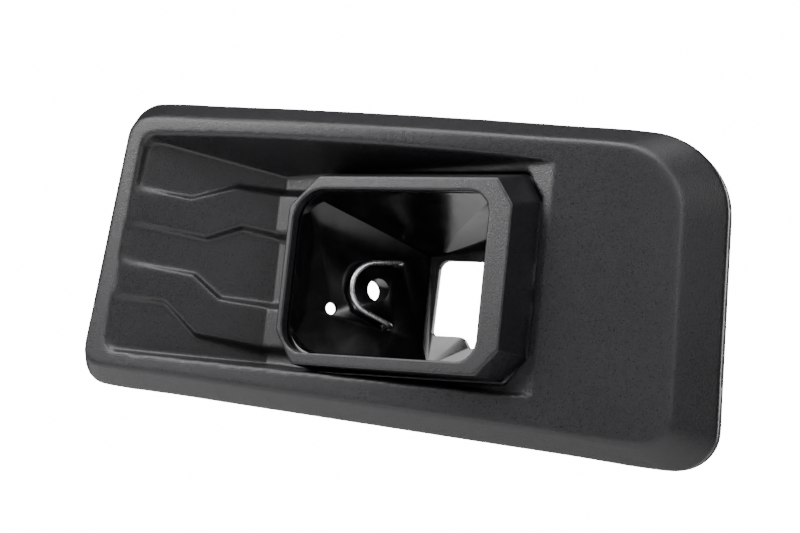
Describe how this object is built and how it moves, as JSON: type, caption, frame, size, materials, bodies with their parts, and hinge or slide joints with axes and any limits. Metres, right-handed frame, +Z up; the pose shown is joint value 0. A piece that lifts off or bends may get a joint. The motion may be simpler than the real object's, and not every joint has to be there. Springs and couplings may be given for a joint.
{
  "type": "car door handle",
  "caption": "Recessed door handle: bent escutcheon with fluted finger ramp, octagonal collar, finger pocket and sprung release paddle.",
  "frame": {"origin": "middle of the four threaded inserts, on the plane of their mouths behind the pocket housing", "axes": "+X along the handle from the finger ramp to the plain end, +Y into the door, square to the inserts' plane, +Z up"},
  "size_m": [0.2507, 0.0645, 0.1263],
  "materials": {
    "grained_plastic": "fine moulded grain",
    "collar_plastic": "fine moulded grain",
    "gloss_black": "polished",
    "spring_steel": "bright drawn",
    "zinc_steel": "zinc plated",
    "brass": "turned",
    "black_rubber": "matt",
    "foam": "closed-cell foam",
    "paddle_plastic": "glass-filled, satin",
    "acetal": "natural acetal"
  },
  "bodies": {
    "housing": {"bezel": "grained_plastic", "edge_gasket": "foam", "panel_clips": "acetal", "collar": "collar_plastic", "pocket_housing": "gloss_black", "wire_clip": "spring_steel", "wire_nuts": "spring_steel", "mounting_inserts": "brass", "housing_screws": "zinc_steel", "collar_screws": "zinc_steel", "pivot_bushings": "acetal", "return_spring": "spring_steel", "rest_bumper": "black_rubber", "end_bumper": "black_rubber"},
    "paddle": {"release_paddle": "paddle_plastic", "paddle_pad": "black_rubber", "pivot_pin": "zinc_steel", "pin_clip": "spring_steel", "rod_clip": "acetal"}
  },
  "joints": [
    {"name": "paddle_hinge", "type": "hinge", "parent": "housing", "child": "paddle", "pos_m": [0.035, -0.016, 0], "axis": [0, 0, -1], "range_deg": [0, 18], "stiffness_Nm_per_rad": 0.12, "springref_deg": -28.65, "deforming": ["return_spring"]}
  ]
}
